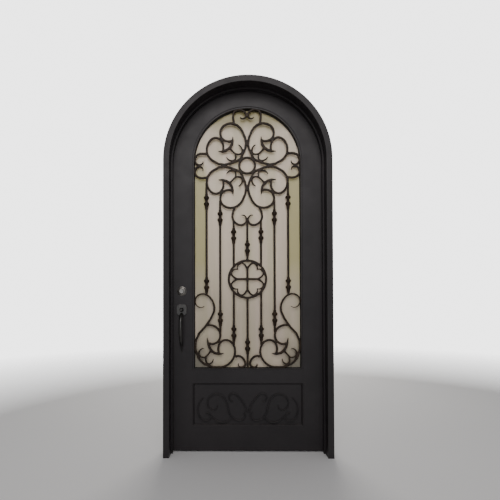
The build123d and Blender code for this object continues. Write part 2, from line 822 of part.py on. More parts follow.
nodes = {
    "hinge_jamb": hinge_jamb,
    "latch_jamb": latch_jamb,
    "arch_head": arch_head,
    "hinge_side_stop": hinge_side_stop,
    "latch_side_stop": latch_side_stop,
    "arch_stop": arch_stop,
    "weather_seal": weather_seal,
    "strike_plates": strike_plates,
    "jamb_knuckles": jamb_knuckles,
    "hinge_stile": hinge_stile,
    "latch_stile": latch_stile,
    "arched_rail": arched_rail,
    "mid_rail": mid_rail,
    "bottom_rail": bottom_rail,
    "kick_panel": kick_panel,
    "kick_mouldings": kick_mouldings,
    "kick_scrolls": kick_scrolls,
    "grille_surround": grille_surround,
    "rosette": rosette,
    "top_heart": top_heart,
    "bottom_heart": bottom_heart,
    "side_hearts": side_hearts,
    "medallion": medallion,
    "left_foot_scrolls": left_foot_scrolls,
    "right_foot_scrolls": right_foot_scrolls,
    "centre_volutes": centre_volutes,
    "centre_bar": centre_bar,
    "inner_bars": inner_bars,
    "second_bars": second_bars,
    "outer_bars": outer_bars,
    "bar_collars": bar_collars,
    "glass_pane": glass_pane,
    "sash": sash,
    "sash_hinges": sash_hinges,
    "sash_latches": sash_latches,
    "leaf_knuckles": leaf_knuckles,
    "edge_faceplates": edge_faceplates,
    "deadbolt_rose": deadbolt_rose,
    "key_cylinder": key_cylinder,
    "escutcheon": escutcheon,
    "grip_handle": grip_handle,
    "thumb_piece": thumb_piece,
    "room_roses": room_roses,
    "room_knob": room_knob,
    "thumb_turn": thumb_turn,
}

os.makedirs("parts", exist_ok=True)
for name, node in nodes.items():
    node.part.label = name
    export_step(node.part, f"parts/{name}.step")
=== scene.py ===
# %% [markdown]
# # An arched wrought iron door
# The construction of the door comes packed: two jambs, a round head, the leaf with its scroll grille, the
# glass, the hinges and the lock. This lesson gives it the look of the real thing: paint, forged iron,
# obscured glass, bronze, and the small fastenings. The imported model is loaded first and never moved.

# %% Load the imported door
import json
import math

import bpy
from mathutils import Matrix, Vector


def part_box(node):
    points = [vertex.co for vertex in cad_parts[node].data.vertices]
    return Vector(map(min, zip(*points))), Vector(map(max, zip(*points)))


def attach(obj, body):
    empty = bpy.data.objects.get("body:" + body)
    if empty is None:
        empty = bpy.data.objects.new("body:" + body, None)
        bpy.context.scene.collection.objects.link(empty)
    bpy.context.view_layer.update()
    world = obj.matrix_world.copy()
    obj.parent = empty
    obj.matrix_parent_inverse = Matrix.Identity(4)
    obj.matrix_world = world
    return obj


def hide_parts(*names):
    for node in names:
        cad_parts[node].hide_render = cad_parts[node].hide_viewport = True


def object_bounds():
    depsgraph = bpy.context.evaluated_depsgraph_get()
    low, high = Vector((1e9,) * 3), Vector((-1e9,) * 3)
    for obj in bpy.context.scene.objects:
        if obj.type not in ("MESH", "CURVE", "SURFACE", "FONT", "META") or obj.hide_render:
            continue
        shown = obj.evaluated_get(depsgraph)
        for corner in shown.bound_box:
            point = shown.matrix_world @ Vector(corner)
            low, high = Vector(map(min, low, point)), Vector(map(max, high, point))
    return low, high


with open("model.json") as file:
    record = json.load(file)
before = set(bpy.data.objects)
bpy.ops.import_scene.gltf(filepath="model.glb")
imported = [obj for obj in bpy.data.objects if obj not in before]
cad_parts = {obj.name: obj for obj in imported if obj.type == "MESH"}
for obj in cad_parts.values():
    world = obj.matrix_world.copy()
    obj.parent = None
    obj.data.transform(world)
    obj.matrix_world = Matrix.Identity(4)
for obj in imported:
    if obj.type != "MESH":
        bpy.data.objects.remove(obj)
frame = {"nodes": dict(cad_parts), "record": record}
cad_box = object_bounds()
nodes = frame["nodes"]
node_slots = {part["node"]: part["material_slot"] for part in frame["record"]["subparts"]}
node_bodies = {name: body for body, names in frame["record"]["behaviour"]["bodies"].items() for name in names}
print("loaded", len(nodes), "nodes, box", [tuple(round(c, 3) for c in corner) for corner in cad_box])

# %% [markdown]
# ## The camera
# The photograph was taken square on, from about waist height, with the camera turned less than a degree.
# Its place, turn and focal length were found by fitting twenty edges of the door. A lens shift, not a tilt,
# lowers the door in the picture, so that its upright lines stay upright.

# %% Camera
camera_place = Vector((-0.6025, -2.327, 0.9471))
camera_yaw = math.radians(-0.707)
camera_pitch = math.radians(0.791)
camera_roll = math.radians(-0.147)
picture_width = 500
focal_pixels = 355.3
shift_right = 16.28
shift_up = 53.23
sensor_width = 36.0


def camera_turn(yaw, pitch, roll):
    """The camera's own axes for a view along +Y, turned by three small angles."""
    ahead = Vector((math.sin(yaw) * math.cos(pitch), math.cos(yaw) * math.cos(pitch), math.sin(pitch)))
    level = Vector((math.cos(yaw), -math.sin(yaw), 0))
    above = level.cross(ahead)
    right = level * math.cos(roll) + above * math.sin(roll)
    up = above * math.cos(roll) - level * math.sin(roll)
    return Matrix((right, up, -ahead)).transposed()


camera_data = bpy.data.cameras.new("camera")
camera_data.sensor_width = sensor_width
camera_data.lens = focal_pixels / picture_width * sensor_width
camera_data.shift_x = shift_right / picture_width
camera_data.shift_y = shift_up / picture_width
camera = bpy.data.objects.new("camera", camera_data)
camera.matrix_world = Matrix.Translation(camera_place) @ camera_turn(
    camera_yaw, camera_pitch, camera_roll
).to_4x4()
bpy.context.scene.collection.objects.link(camera)
bpy.context.scene.camera = camera
print("camera lens", round(camera_data.lens, 2), "mm")

# %% [markdown]
# ## The studio
# Dark paint shows its form only by what it reflects, so the lights are large and soft. The main one stands in
# front of the door and well above it, so that the leaf is lightest at the top and falls off to nearly black
# at the foot, as in the photograph. A second, low one fills the shadow of the arch, and a third in the house
# serves the views from behind. The sky is pale to the camera and dimmer as a light, so that the door stands
# on a pale ground while its black stays black. The floor is a plain pale sheet that fades into the sky.

# %% Stage values
floor_width = 14.0
floor_tone = (0.8, 0.79, 0.78, 1)
floor_shade = 0.97
floor_gone_below = 0.02
floor_solid_above = 0.6
sky_tone = (0.93, 0.96, 1.0, 1)
sky_light = 0.26
sky_seen = 3.4


def soft_light(name, place, aim, width, power, tone):
    """A round studio light that faces its aim."""
    data = bpy.data.lights.new(name, "AREA")
    data.shape = "DISK"
    data.size = width
    data.energy = power
    data.color = tone
    lamp = bpy.data.objects.new(name, data)
    lamp.location = place
    lamp.rotation_euler = (Vector(aim) - Vector(place)).to_track_quat("-Z", "Y").to_euler()
    bpy.context.scene.collection.objects.link(lamp)


# %% Lights and sky
door_centre = (Vector(cad_box[0]) + Vector(cad_box[1])) / 2
door_top = Vector((door_centre.x, door_centre.y, cad_box[1][2]))
soft_light("key_light", (-0.62, -3.4, 3.9), door_top, 3.0, 70, (1, 0.96, 0.95))
soft_light("fill_light", (-0.45, -6.0, 1.9), door_top, 4.4, 58, (0.99, 0.98, 1))
soft_light("room_light", (-0.3, 4.4, 2.8), door_centre, 3.4, 150, (1, 0.97, 0.93))

world = bpy.data.worlds.new("studio_sky")
world.use_nodes = True
sky = world.node_tree
light_sky = sky.nodes["Background"]
light_sky.inputs["Color"].default_value = sky_tone
light_sky.inputs["Strength"].default_value = sky_light
seen_sky = sky.nodes.new("ShaderNodeBackground")
seen_sky.inputs["Color"].default_value = (1, 1, 1, 1)
seen_sky.inputs["Strength"].default_value = sky_seen
ray = sky.nodes.new("ShaderNodeLightPath")
both = sky.nodes.new("ShaderNodeMixShader")
sky.links.new(ray.outputs["Is Camera Ray"], both.inputs["Fac"])
sky.links.new(light_sky.outputs["Background"], both.inputs[1])
sky.links.new(seen_sky.outputs["Background"], both.inputs[2])
sky.links.new(both.outputs["Shader"], sky.nodes["World Output"].inputs["Surface"])
bpy.context.scene.world = world
print("sky lights at", sky_light, "and shows at", sky_seen)

# %% Floor
bpy.ops.object.select_all(action="DESELECT")
bpy.ops.mesh.primitive_plane_add(size=floor_width)
floor = bpy.context.active_object
floor.name = "floor"
floor_finish = bpy.data.materials.new("studio_floor")
floor_finish.use_nodes = True
floor.data.materials.append(floor_finish)
tree = floor_finish.node_tree
place = tree.nodes.new("ShaderNodeTexCoord")
cloud = tree.nodes.new("ShaderNodeTexNoise")
cloud.inputs["Scale"].default_value = 0.7
ramp = tree.nodes.new("ShaderNodeValToRGB")
ramp.color_ramp.elements[0].color = tuple(floor_shade * c for c in floor_tone[:3]) + (1,)
ramp.color_ramp.elements[1].color = floor_tone
tree.links.new(place.outputs["Object"], cloud.inputs["Vector"])
tree.links.new(cloud.outputs["Fac"], ramp.inputs["Fac"])
tree.links.new(ramp.outputs["Color"], tree.nodes["Principled BSDF"].inputs["Base Color"])
tree.nodes["Principled BSDF"].inputs["Roughness"].default_value = 0.75
spread = tree.nodes.new("ShaderNodeMapping")
spread.inputs["Scale"].default_value = (2 / floor_width, 2 / floor_width, 1)
fade = tree.nodes.new("ShaderNodeTexGradient")
fade.gradient_type = "SPHERICAL"
solid = tree.nodes.new("ShaderNodeMapRange")
solid.inputs["From Min"].default_value = floor_gone_below
solid.inputs["From Max"].default_value = floor_solid_above
tree.links.new(place.outputs["Object"], spread.inputs["Vector"])
tree.links.new(spread.outputs["Vector"], fade.inputs["Vector"])
tree.links.new(fade.outputs["Fac"], solid.inputs["Value"])
tree.links.new(solid.outputs["Result"], tree.nodes["Principled BSDF"].inputs["Alpha"])
print("floor", floor_width, "m wide")

# %% [markdown]
# ## Shader groups
# Several finishes share the same effects: a slow change of tone, dust on what faces up, the faint orange
# peel of sprayed paint, the hammer marks of forged iron, and edges that hands and weather have rubbed. Each
# effect is one node group with named inputs, so that every material places it with its own values.

# %% Group builder
GROUP_KINDS = {"colour": "NodeSocketColor", "value": "NodeSocketFloat", "vector": "NodeSocketVector"}


def new_group(name, inputs, outputs):
    """An empty shader group. Inputs are (name, kind, default) and outputs are (name, kind)."""
    group = bpy.data.node_groups.new(name, "ShaderNodeTree")
    for title, kind, default in inputs:
        socket = group.interface.new_socket(title, in_out="INPUT", socket_type=GROUP_KINDS[kind])
        if default is not None:
            socket.default_value = default
    for title, kind in outputs:
        group.interface.new_socket(title, in_out="OUTPUT", socket_type=GROUP_KINDS[kind])
    entry = group.nodes.new("NodeGroupInput")
    leave = group.nodes.new("NodeGroupOutput")
    return group, entry.outputs, leave.inputs


def add_noise(tree, vector, scale, detail=3.0, roughness=0.5):
    """A noise texture whose scale is a number or a socket."""
    noise = tree.nodes.new("ShaderNodeTexNoise")
    noise.inputs["Detail"].default_value = detail
    noise.inputs["Roughness"].default_value = roughness
    tree.links.new(vector, noise.inputs["Vector"])
    if isinstance(scale, (int, float)):
        noise.inputs["Scale"].default_value = scale
    else:
        tree.links.new(scale, noise.inputs["Scale"])
    return noise.outputs["Fac"]


def add_range(tree, value, low, high, to_low=0.0, to_high=1.0):
    """A value spread from one range to another, held at its ends."""
    spread = tree.nodes.new("ShaderNodeMapRange")
    for title, number in (("From Min", low), ("From Max", high), ("To Min", to_low), ("To Max", to_high)):
        spread.inputs[title].default_value = number
    tree.links.new(value, spread.inputs["Value"])
    return spread.outputs["Result"]


def add_math(tree, operation, first, second):
    """A sum on two sockets, or on a socket and a number."""
    step = tree.nodes.new("ShaderNodeMath")
    step.operation = operation
    for slot, item in zip(step.inputs, (first, second)):
        if isinstance(item, (int, float)):
            slot.default_value = item
        else:
            tree.links.new(item, slot)
    return step.outputs["Value"]


def add_mix(tree, share, first, second):
    """A mix of two colours by a share."""
    mix = tree.nodes.new("ShaderNodeMix")
    mix.data_type = "RGBA"
    for slot, item in zip((mix.inputs[0], mix.inputs[6], mix.inputs[7]), (share, first, second)):
        if isinstance(item, (int, float, tuple)):
            slot.default_value = item
        else:
            tree.links.new(item, slot)
    return mix.outputs[2]


# %% Mottled tone
mottle, entry, leave = new_group(
    "mottled_tone",
    (("Place", "vector", None), ("Tone", "colour", (0.1, 0.1, 0.1, 1)),
     ("Second tone", "colour", (0.2, 0.2, 0.2, 1)), ("Scale", "value", 4.0)),
    (("Colour", "colour"), ("Mask", "value")),
)
cloud = add_range(mottle, add_noise(mottle, entry["Place"], entry["Scale"], 4.0), 0.35, 0.68)
mottle.links.new(add_mix(mottle, cloud, entry["Tone"], entry["Second tone"]), leave["Colour"])
mottle.links.new(cloud, leave["Mask"])
print("group", mottle.name)

# %% Dust on what faces up
dust, entry, leave = new_group(
    "settled_dust",
    (("Place", "vector", None), ("Colour", "colour", (0.1, 0.1, 0.1, 1)),
     ("Dust", "colour", (0.25, 0.22, 0.18, 1)), ("Amount", "value", 0.5)),
    (("Colour", "colour"), ("Mask", "value")),
)
facing = dust.nodes.new("ShaderNodeNewGeometry")
parts = dust.nodes.new("ShaderNodeSeparateXYZ")
dust.links.new(facing.outputs["Normal"], parts.inputs["Vector"])
upward = add_range(dust, parts.outputs["Z"], 0.35, 0.95)
patches = add_range(dust, add_noise(dust, entry["Place"], 38.0, 5.0, 0.65), 0.3, 0.62)
film = add_math(dust, "MULTIPLY", add_math(dust, "MULTIPLY", upward, patches), entry["Amount"])
dust.links.new(add_mix(dust, film, entry["Colour"], entry["Dust"]), leave["Colour"])
dust.links.new(film, leave["Mask"])
print("group", dust.name)

# %% Orange peel of sprayed paint
peel, entry, leave = new_group(
    "orange_peel",
    (("Place", "vector", None), ("Scale", "value", 260.0), ("Depth", "value", 0.0002),
     ("Wave", "value", 0.0006)),
    (("Normal", "vector"),),
)
grain = add_noise(peel, entry["Place"], entry["Scale"], 2.0)
slow = add_noise(peel, entry["Place"], 5.0, 1.0)
fine_height = add_math(peel, "MULTIPLY", grain, entry["Depth"])
slow_height = add_math(peel, "MULTIPLY", slow, entry["Wave"])
height = add_math(peel, "ADD", fine_height, slow_height)
bump = peel.nodes.new("ShaderNodeBump")
bump.inputs["Distance"].default_value = 1.0
peel.links.new(height, bump.inputs["Height"])
peel.links.new(bump.outputs["Normal"], leave["Normal"])
print("group", peel.name)

# %% Hammer marks of forged iron
hammer, entry, leave = new_group(
    "hammer_marks",
    (("Place", "vector", None), ("Scale", "value", 90.0), ("Depth", "value", 0.0012)),
    (("Normal", "vector"), ("Mask", "value")),
)
dents = hammer.nodes.new("ShaderNodeTexVoronoi")
dents.feature = "SMOOTH_F1"
dents.inputs["Smoothness"].default_value = 0.6
hammer.links.new(entry["Place"], dents.inputs["Vector"])
hammer.links.new(entry["Scale"], dents.inputs["Scale"])
scale_grain = add_noise(hammer, entry["Place"], 420.0, 3.0)
height = add_math(
    hammer, "ADD", add_math(hammer, "MULTIPLY", dents.outputs["Distance"], entry["Depth"]),
    add_math(hammer, "MULTIPLY", scale_grain, 0.00025)
)
bump = hammer.nodes.new("ShaderNodeBump")
bump.inputs["Distance"].default_value = 1.0
hammer.links.new(height, bump.inputs["Height"])
hammer.links.new(bump.outputs["Normal"], leave["Normal"])
hammer.links.new(scale_grain, leave["Mask"])
print("group", hammer.name)

# %% Rubbed edges
wear, entry, leave = new_group(
    "rubbed_edges",
    (("Place", "vector", None), ("Colour", "colour", (0.1, 0.1, 0.1, 1)),
     ("Rubbed", "colour", (0.3, 0.25, 0.2, 1)), ("Width", "value", 0.002), ("Amount", "value", 0.5)),
    (("Colour", "colour"), ("Mask", "value")),
)
rounded = wear.nodes.new("ShaderNodeBevel")
rounded.samples = 4
wear.links.new(entry["Width"], rounded.inputs["Radius"])
flat = wear.nodes.new("ShaderNodeNewGeometry")
likeness = wear.nodes.new("ShaderNodeVectorMath")
likeness.operation = "DOT_PRODUCT"
wear.links.new(rounded.outputs["Normal"], likeness.inputs[0])
wear.links.new(flat.outputs["Normal"], likeness.inputs[1])
edges = add_range(wear, likeness.outputs["Value"], 0.985, 0.86)
broken = add_range(wear, add_noise(wear, entry["Place"], 55.0, 5.0, 0.7), 0.42, 0.6)
rubbed = add_math(wear, "MULTIPLY", add_math(wear, "MULTIPLY", edges, broken), entry["Amount"])
wear.links.new(add_mix(wear, rubbed, entry["Colour"], entry["Rubbed"]), leave["Colour"])
wear.links.new(rubbed, leave["Mask"])
print("group", wear.name)

# %% [markdown]
# ## Finishes
# The steel is sprayed a dark bronze, nearly black, with a satin sheen. The forged iron of the grille has a
# warmer brown coat over its hammer marks; that warmth is partly painted glow from the glass behind its bars,
# and the scrolls on the kick panel, the same iron, take a cooler copy without it. The lock's bronze is oiled
# nearly black
# under a clear lacquer, and brighter where it is rubbed, and the deadbolt's rose is paler. The glass is
# obscured:
# pale and warm, so that it glows between the bars and hides the room.

# %% Finish helper
finishes = {}


def new_finish(slot_name):
    """A new material, kept under its name, with its tree, its shader and the object's own coordinates."""
    finish = bpy.data.materials.new("finish_" + slot_name)
    finish.use_nodes = True
    tree = finish.node_tree
    shader = tree.nodes["Principled BSDF"]
    place = tree.nodes.new("ShaderNodeTexCoord").outputs["Object"]
    finishes[slot_name] = finish
    return tree, shader, place


def place_group(tree, group, place, **values):
    """A shader group set in a material, with its plain values and its linked sockets."""
    node = tree.nodes.new("ShaderNodeGroup")
    node.node_tree = group
    tree.links.new(place, node.inputs["Place"])
    for title, item in values.items():
        socket = node.inputs[title.replace("_", " ")]
        if isinstance(item, (int, float, tuple)):
            socket.default_value = item
        else:
            tree.links.new(item, socket)
    return node.outputs


# %% Door paint
tree, shader, place = new_finish("painted_steel")
tone = place_group(tree, mottle, place, Tone=(0.0165, 0.0138, 0.015, 1),
                   Second_tone=(0.0225, 0.0188, 0.0202, 1), Scale=3.0)
worn = place_group(tree, wear, place, Colour=tone["Colour"], Rubbed=(0.07, 0.062, 0.055, 1), Width=0.003,
                   Amount=0.4)
# Dust on what faces up, and partly a painted highlight on upward ledges such as the kick panel's bottom
# moulding.
dusty = place_group(tree, dust, place, Colour=worn["Colour"], Dust=(0.085, 0.075, 0.067, 1), Amount=0.35)
rough = add_range(tree, add_noise(tree, place, 14.0, 4.0), 0.3, 0.7, 0.4, 0.5)
rough = add_math(tree, "ADD", rough, add_math(tree, "MULTIPLY", dusty["Mask"], 0.4))
rough = add_math(tree, "SUBTRACT", rough, add_math(tree, "MULTIPLY", worn["Mask"], 0.25))
tree.links.new(dusty["Colour"], shader.inputs["Base Color"])
tree.links.new(rough, shader.inputs["Roughness"])
tree.links.new(place_group(tree, peel, place)["Normal"], shader.inputs["Normal"])
shader.inputs["Specular IOR Level"].default_value = 0.36
print("finish painted_steel")

# %% Forged iron
def iron_finish(name, first, second):
    """Paint over hammered iron, in two tones that the forging brings out."""
    tree, shader, place = new_finish(name)
    tone = place_group(tree, mottle, place, Tone=first, Second_tone=second, Scale=26.0)
    worn = place_group(tree, wear, place, Colour=tone["Colour"], Rubbed=(0.09, 0.065, 0.045, 1), Width=0.0035,
                       Amount=0.35)
    dusty = place_group(tree, dust, place, Colour=worn["Colour"], Dust=(0.13, 0.11, 0.085, 1), Amount=0.35)
    marks = place_group(tree, hammer, place, Scale=95.0, Depth=0.0008)
    rough = add_range(tree, marks["Mask"], 0.3, 0.7, 0.42, 0.58)
    tree.links.new(dusty["Colour"], shader.inputs["Base Color"])
    tree.links.new(rough, shader.inputs["Roughness"])
    tree.links.new(marks["Normal"], shader.inputs["Normal"])
    shader.inputs["Specular IOR Level"].default_value = 0.28
    print("finish", name)


# The grille's iron: its brown is partly painted glow from the glass behind the bars.
iron_finish("wrought_iron", (0.0135, 0.0066, 0.0024, 1), (0.031, 0.0168, 0.0064, 1))
# The kick panel's scrolls: the same iron in a cooler copy, without the painted glow.
iron_finish("kick_iron", (0.012, 0.0105, 0.0115, 1), (0.02, 0.017, 0.018, 1))

# %% [markdown]
# ### Obscured glass
# The pane hides the room. Its own colour is beige in the middle. Over that, light and shade are painted in:
# a painted reflection, olive, in the strips outside the last bars; painted shade, olive, under the crown of
# the arch; and painted shade, grey, in the lower corners. Those tones are soft fields over the pane's own
# coordinates, with faint upright folds painted in as of a curtain seen behind. A slight ripple, as of rolled
# glass, breaks up the reflections.

# %% Glass
middle_tone = (0.74, 0.625, 0.49, 1)
# Tones painted over the pane's colour: curtain folds, a reflection in the strips, shade under the crown and
# in the lower corners.
painted_curtain_tone = (0.63, 0.55, 0.385, 1)
painted_reflection_tone = (0.46, 0.415, 0.16, 1)
painted_arch_shade_tone = (0.31, 0.265, 0.1, 1)
painted_corner_shade_tone = (0.28, 0.255, 0.19, 1)
reflection_from, reflection_full = 0.265, 0.28
corner_shade_from, corner_shade_full = 0.2, 0.33

tree, shader, place = new_finish("glass")
glass_low, glass_high = (Vector(corner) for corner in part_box("glass_pane"))
arch_foot = glass_high.z - (glass_high.x - glass_low.x) / 2
wander = add_math(tree, "MULTIPLY", add_noise(tree, place, 3.0, 3.0), 0.05)
parts = tree.nodes.new("ShaderNodeSeparateXYZ")
tree.links.new(place, parts.inputs["Vector"])
middle = (glass_low.x + glass_high.x) / 2
across = add_math(tree, "ABSOLUTE", add_math(tree, "SUBTRACT", parts.outputs["X"], middle), 0)
height = add_math(tree, "ADD", parts.outputs["Z"], wander)


def field(value, none, full, most=1.0):
    """A soft field that runs from nothing at one value to its most at another."""
    return add_range(tree, value, none, full, 0.0, most)


# Painted reflection, olive, in the strips outside the last bars.
painted_reflection = add_math(tree, "MULTIPLY", field(across, reflection_from, reflection_full, 0.85), add_math(
    tree, "MULTIPLY", field(height, arch_foot + 0.02, arch_foot - 0.1), field(height, 1.0, 1.3)
))
# Painted shade, olive, under the crown of the arch.
painted_arch_shade = field(height, glass_high.z - 0.13, glass_high.z - 0.05, 0.86)
# Painted shade, grey, in the lower corners of the pane.
painted_corner_shade = add_math(
    tree, "MULTIPLY", field(across, corner_shade_from, corner_shade_full),
    field(height, glass_low.z + 0.26, glass_low.z + 0.06)
)
# Faint upright folds painted on, as of a curtain seen through the pane.
folds = tree.nodes.new("ShaderNodeMapping")
folds.inputs["Scale"].default_value = (14.0, 1.0, 0.9)
tree.links.new(place, folds.inputs["Vector"])
painted_curtain_folds = field(add_noise(tree, folds.outputs["Vector"], 1.0, 4.0), 0.36, 0.64)
tone = add_mix(tree, painted_curtain_folds, middle_tone, painted_curtain_tone)
for share, colour in ((painted_reflection, painted_reflection_tone), (painted_arch_shade, painted_arch_shade_tone), (painted_corner_shade, painted_corner_shade_tone)):
    tone = add_mix(tree, share, tone, colour)
tree.links.new(tone, shader.inputs["Base Color"])
ripple = tree.nodes.new("ShaderNodeBump")
ripple.inputs["Distance"].default_value = 1.0
waves = add_math(tree, "MULTIPLY", add_noise(tree, place, 60.0, 2.0), 0.0016)
tree.links.new(waves, ripple.inputs["Height"])
tree.links.new(ripple.outputs["Normal"], shader.inputs["Normal"])
shader.inputs["Roughness"].default_value = 0.3
shader.inputs["Transmission Weight"].default_value = 0.2
print("finish glass, arch from", round(arch_foot, 3), "m")

# %% Rubber seal
tree, shader, place = new_finish("seal")
tone = place_group(tree, mottle, place, Tone=(0.008, 0.008, 0.008, 1), Second_tone=(0.016, 0.015, 0.015, 1),
                   Scale=30.0)
dusty = place_group(tree, dust, place, Colour=tone["Colour"], Dust=(0.14, 0.13, 0.12, 1), Amount=0.4)
tree.links.new(dusty["Colour"], shader.inputs["Base Color"])
skin = place_group(tree, peel, place, Scale=900.0, Depth=0.0002, Wave=0.0)
tree.links.new(skin["Normal"], shader.inputs["Normal"])
shader.inputs["Roughness"].default_value = 0.75
print("finish seal")

# %% Oiled bronze
def bronze_finish(name, first, second, rubbed):
    """Oiled bronze in two tones, rubbed bright where hands touch it."""
    tree, shader, place = new_finish(name)
    tone = place_group(tree, mottle, place, Tone=first, Second_tone=second, Scale=48.0)
    worn = place_group(tree, wear, place, Colour=tone["Colour"], Rubbed=rubbed, Width=0.0025, Amount=0.7)
    tree.links.new(worn["Colour"], shader.inputs["Base Color"])
    rough = add_range(tree, add_noise(tree, place, 90.0, 4.0), 0.3, 0.7, 0.28, 0.42)
    tree.links.new(rough, shader.inputs["Roughness"])
    tree.links.new(place_group(tree, peel, place, Scale=600.0, Depth=0.00006, Wave=0.0)["Normal"],
                   shader.inputs["Normal"])
    shader.inputs["Metallic"].default_value = 0.85
    shader.inputs["Coat Weight"].default_value = 0.6
    shader.inputs["Coat Roughness"].default_value = 0.16
    print("finish", name)


bronze_finish("bronze_hardware", (0.028, 0.027, 0.026, 1), (0.05, 0.047, 0.043, 1), (0.15, 0.125, 0.1, 1))
bronze_finish("rose_bronze", (0.19, 0.18, 0.165, 1), (0.3, 0.285, 0.26, 1), (0.42, 0.38, 0.32, 1))

# %% Satin nickel and plate steel
for slot_name, tones, roughness in (
    ("cylinder_metal", ((0.2, 0.195, 0.18, 1), (0.3, 0.29, 0.27, 1)), (0.26, 0.38)),
    ("plate_metal", ((0.24, 0.22, 0.19, 1), (0.36, 0.34, 0.3, 1)), (0.3, 0.48)),
):
    tree, shader, place = new_finish(slot_name)
    tone = place_group(tree, mottle, place, Tone=tones[0], Second_tone=tones[1], Scale=70.0)
    tree.links.new(tone["Colour"], shader.inputs["Base Color"])
    rough = add_range(tree, add_noise(tree, place, 240.0, 5.0), 0.3, 0.7, *roughness)
    tree.links.new(rough, shader.inputs["Roughness"])
    shader.inputs["Metallic"].default_value = 1.0
    print("finish", slot_name)

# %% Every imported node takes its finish
for name, node in nodes.items():
    for slot in node.material_slots:
        slot.material = finishes[node_slots[name]]
print("finished", len(nodes), "nodes")

# %% [markdown]
# ## Eased edges
# No edge on the real door is knife sharp: the sheet steel is folded and ground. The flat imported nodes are
# copied, their loose triangles are merged and their faces made whole again, and a bevel eases the edges.
# Weighted normals keep the flat faces flat in the light. Each copy stands for its node at the same place and
# size. Pieces that are welded and ground flush are joined first, so that no seam shows between them.


# %% Copying tools
bevel_above_degrees = 30
smooth_below_degrees = 32


def only(piece):
    """Selects one object and nothing else."""
    bpy.ops.object.select_all(action="DESELECT")
    piece.select_set(True)
    bpy.context.view_layer.objects.active = piece


def apply_modifier(piece, kind, **settings):
    """Adds a modifier with its settings and applies it at once."""
    only(piece)
    modifier = piece.modifiers.new(kind.lower(), kind)
    for name, value in settings.items():
        setattr(modifier, name, value)
    bpy.ops.object.modifier_apply(modifier=modifier.name)


def whole_faces(piece, flatness=1.0):
    """Merges loose triangles into whole flat faces."""
    only(piece)
    bpy.ops.object.mode_set(mode="EDIT")
    bpy.ops.mesh.select_all(action="SELECT")
    bpy.ops.mesh.remove_doubles(threshold=0.00001)
    bpy.ops.mesh.dissolve_limited(angle_limit=math.radians(flatness))
    bpy.ops.object.mode_set(mode="OBJECT")


def merged_copy(name, title):
    """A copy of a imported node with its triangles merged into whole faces."""
    piece = bpy.data.objects.new(title, nodes[name].data.copy())
    bpy.context.scene.collection.objects.link(piece)
    only(piece)
    bpy.ops.mesh.customdata_custom_splitnormals_clear()
    whole_faces(piece)
    return piece


def welded(title, names):
    """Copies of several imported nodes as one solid."""
    piece = merged_copy(names[0], title)
    for name in names[1:]:
        other = merged_copy(name, name + "_copy")
        apply_modifier(piece, "BOOLEAN", operation="UNION", object=other)
        bpy.data.objects.remove(other)
    whole_faces(piece, 0.5)
    return piece


def ease_edges(piece, rounding, steps):
    """Bevels the sharp edges of a piece and smooths its shading, with its flat faces kept flat."""
    apply_modifier(
        piece, "BEVEL", width=rounding, segments=steps, limit_method="ANGLE",
        angle_limit=math.radians(bevel_above_degrees), use_clamp_overlap=True,
    )
    bpy.ops.object.shade_smooth_by_angle(angle=math.radians(smooth_below_degrees))
    apply_modifier(piece, "WEIGHTED_NORMAL", mode="FACE_AREA", weight=50, keep_sharp=True)


def finish_piece(piece, body, slot_name):
    """Gives a piece its finish and the body that it rides on."""
    piece.data.materials.clear()
    piece.data.materials.append(finishes[slot_name])
    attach(piece, body)
    print(piece.name, "has", len(piece.data.polygons), "faces")


def stand_for(piece, *names):
    """The piece takes the place, body and finish of these nodes."""
    finish_piece(piece, node_bodies[names[0]], node_slots[names[0]])
    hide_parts(*names)


# %% The steel frame and the leaf, welded and ground flush
frame_members = (
    "arch_head", "hinge_jamb", "latch_jamb", "arch_stop", "hinge_side_stop", "latch_side_stop",
)
leaf_members = ("arched_rail", "hinge_stile", "latch_stile", "mid_rail", "bottom_rail")
for title, members, rounding in (
    ("steel_frame", frame_members, 0.0024), ("welded_leaf", leaf_members, 0.0016),
):
    piece = welded(title, members)
    ease_edges(piece, rounding, 3)
    stand_for(piece, *members)

# %% Smaller steel and bronze pieces
edge_roundings = {
    "weather_seal": 0.0012, "grille_surround": 0.001, "kick_mouldings": 0.0012, "sash": 0.0015,
    "sash_latches": 0.0012, "jamb_knuckles": 0.0009, "leaf_knuckles": 0.0009, "strike_plates": 0.0004,
    "edge_faceplates": 0.0004, "escutcheon": 0.0018, "thumb_piece": 0.0014, "room_roses": 0.0022,
    "thumb_turn": 0.0015, "room_knob": 0.0012, "glass_pane": 0.0008,
}
for name, rounding in edge_roundings.items():
    piece = merged_copy(name, name + "_eased")
    ease_edges(piece, rounding, 3 if rounding > 0.001 else 2)
    stand_for(piece, name)

# %% The grip, whose skin is already smooth
grip = merged_copy("grip_handle", "cast_grip")
bpy.ops.object.shade_smooth_by_angle(angle=math.radians(50))
stand_for(grip, "grip_handle")

# %% [markdown]
# ## Forged scrolls
# The scrolls are hot-forged bars, welded where they touch. A sharp model of them looks like cut plate, so
# their copies are joined and remeshed in small cubes. That runs touching bars into each other, as a weld
# does. A few rounds of smoothing take the edge off the bars, and a cloud displaces their skin by a part of
# a millimetre, for the marks of the hammer.

# %% Forging tools
hammer_cloud = bpy.data.textures.new("hammer_cloud", "CLOUDS")
hammer_cloud.noise_scale = 0.016
hammer_cloud.noise_depth = 1


